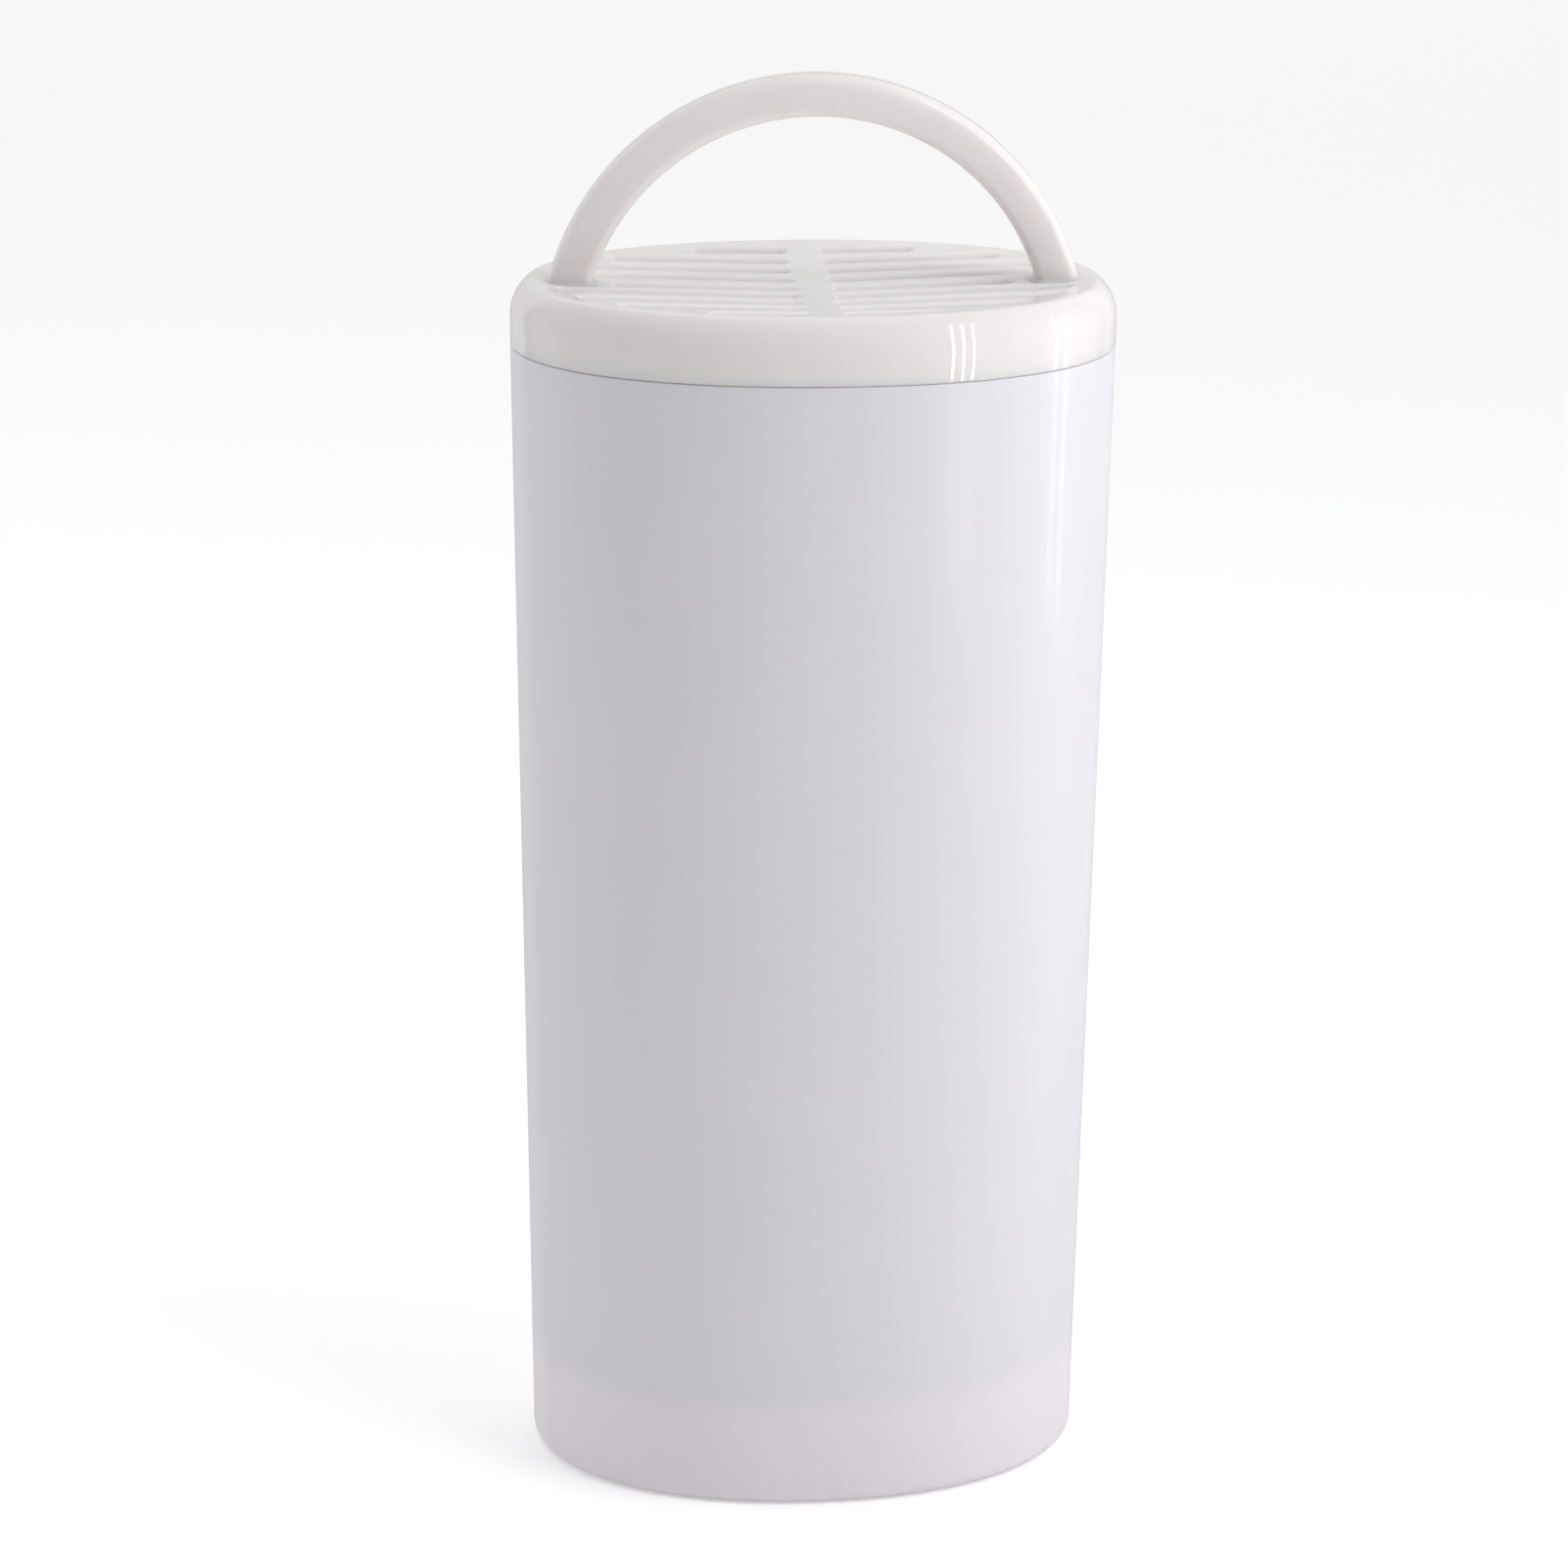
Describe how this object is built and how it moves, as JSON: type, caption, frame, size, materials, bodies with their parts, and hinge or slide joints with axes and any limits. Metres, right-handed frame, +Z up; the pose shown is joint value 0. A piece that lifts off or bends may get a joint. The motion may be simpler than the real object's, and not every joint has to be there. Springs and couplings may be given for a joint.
{
  "type": "water filter cartridge",
  "caption": "Tapered oval cartridge for a gravity-fed water filter jug, with a slotted grille cap, an arched carry handle and layered filter beds inside.",
  "frame": {"origin": "centre of the flat base that the cartridge stands on", "axes": "+Z up through the cap and the handle, +X along the long axis of the oval and the span of the handle, -Y the front"},
  "size_m": [0.064, 0.044, 0.1549],
  "materials": {
    "housing_plastic": "satin moulded polypropylene, cool white",
    "cap_plastic": "glossy moulded polypropylene, warm white",
    "screen_mesh": "fine woven nylon mesh",
    "filter_pad": "white needled non-woven pad",
    "carbon_granules": "dull black granules",
    "resin_beads": "amber beads with a soft shine"
  },
  "bodies": {
    "root": {"housing": "housing_plastic", "grille_cap": "cap_plastic", "carry_handle": "cap_plastic", "inlet_screen": "screen_mesh", "outlet_screen": "screen_mesh", "inlet_pad": "filter_pad", "separator_pad": "filter_pad", "outlet_pad": "filter_pad", "carbon_bed": "carbon_granules", "resin_bed": "resin_beads"}
  },
  "joints": []
}
